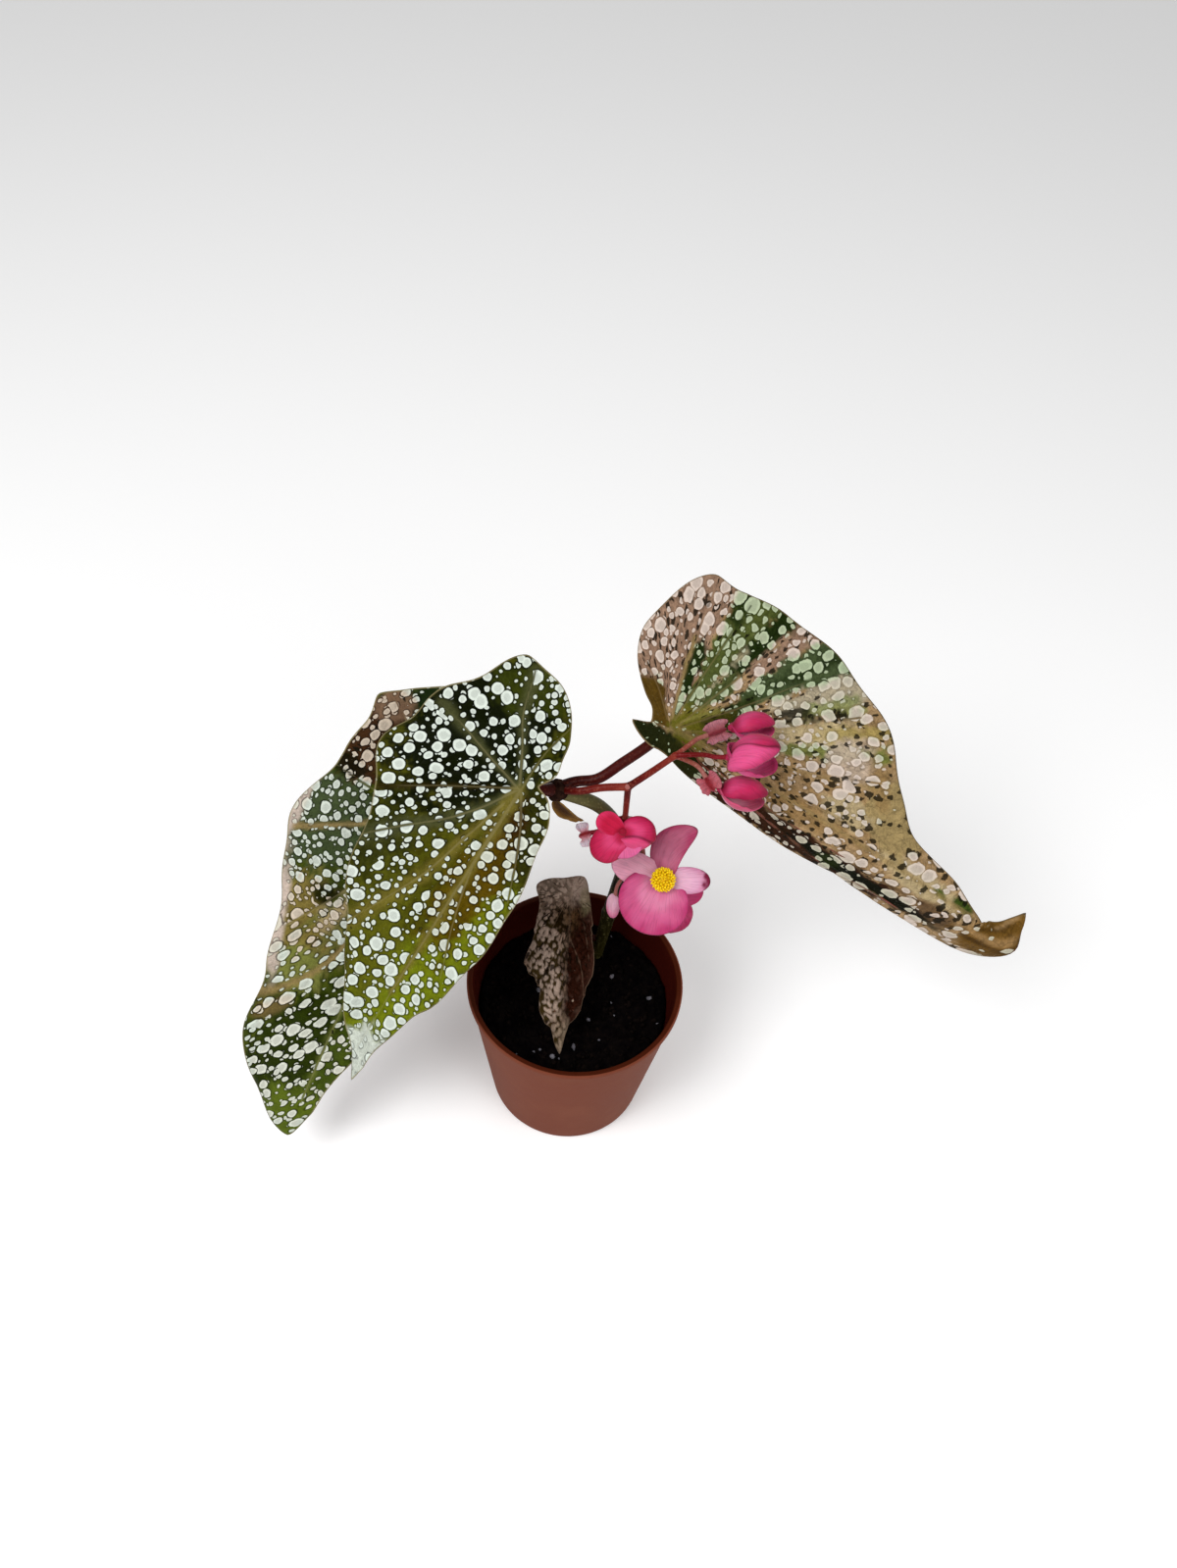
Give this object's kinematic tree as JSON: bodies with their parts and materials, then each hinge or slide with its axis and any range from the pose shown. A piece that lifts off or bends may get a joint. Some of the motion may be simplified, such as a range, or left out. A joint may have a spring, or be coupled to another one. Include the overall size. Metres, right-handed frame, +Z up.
{
  "type": "potted begonia",
  "caption": "Flowering angel-wing begonia with spotted, wavy-edged leaves and pink blooms on a red stalk, planted in a small round terracotta-coloured pot of soil.",
  "frame": {"origin": "centre of the pot's underside, on the surface that it stands on", "axes": "+Z up out of the pot, +X towards the side that the long spotted leaf and the flowers reach to, -Y towards the side that it is seen from"},
  "size_m": [0.2526, 0.1167, 0.1945],
  "materials": {
    "terracotta_plastic": "matt thin moulded plastic",
    "potting_soil": "rough damp peat soil",
    "green_stem": "smooth plant stem",
    "dry_stipule": "dry papery scale",
    "petiole_red": "smooth fleshy leaf stalk",
    "stalk_red": "smooth fleshy flower stalk",
    "leaf_green": "satin leaf",
    "leaf_tan": "satin leaf",
    "leaf_taupe": "satin young leaf",
    "tepal_deep_pink": "waxy petal",
    "tepal_soft_pink": "waxy petal",
    "flower_pale_pink": "waxy bud and ovary",
    "stamen_yellow": "grainy anthers"
  },
  "bodies": {
    "root": {"pot": "terracotta_plastic", "soil": "potting_soil", "cane": "green_stem", "stipule": "dry_stipule", "petiole_front": "petiole_red", "petiole_back": "petiole_red", "petiole_right": "petiole_red", "petiole_young": "petiole_red", "flower_stalk": "stalk_red", "leaf_front": "leaf_green", "leaf_back": "leaf_green", "leaf_right": "leaf_tan", "leaf_young": "leaf_taupe", "open_bloom_tepals": "tepal_soft_pink", "open_bloom_stamens": "stamen_yellow", "behind_bloom_tepals": "tepal_deep_pink", "nodding_bloom_tepals": "tepal_deep_pink", "top_bloom_tepals": "tepal_deep_pink", "middle_bloom_tepals": "tepal_deep_pink", "lower_bloom_tepals": "tepal_deep_pink", "top_bloom_ovary": "flower_pale_pink", "lower_bloom_ovary": "flower_pale_pink", "nodding_bloom_ovary": "flower_pale_pink", "small_bud": "flower_pale_pink"}
  },
  "joints": []
}
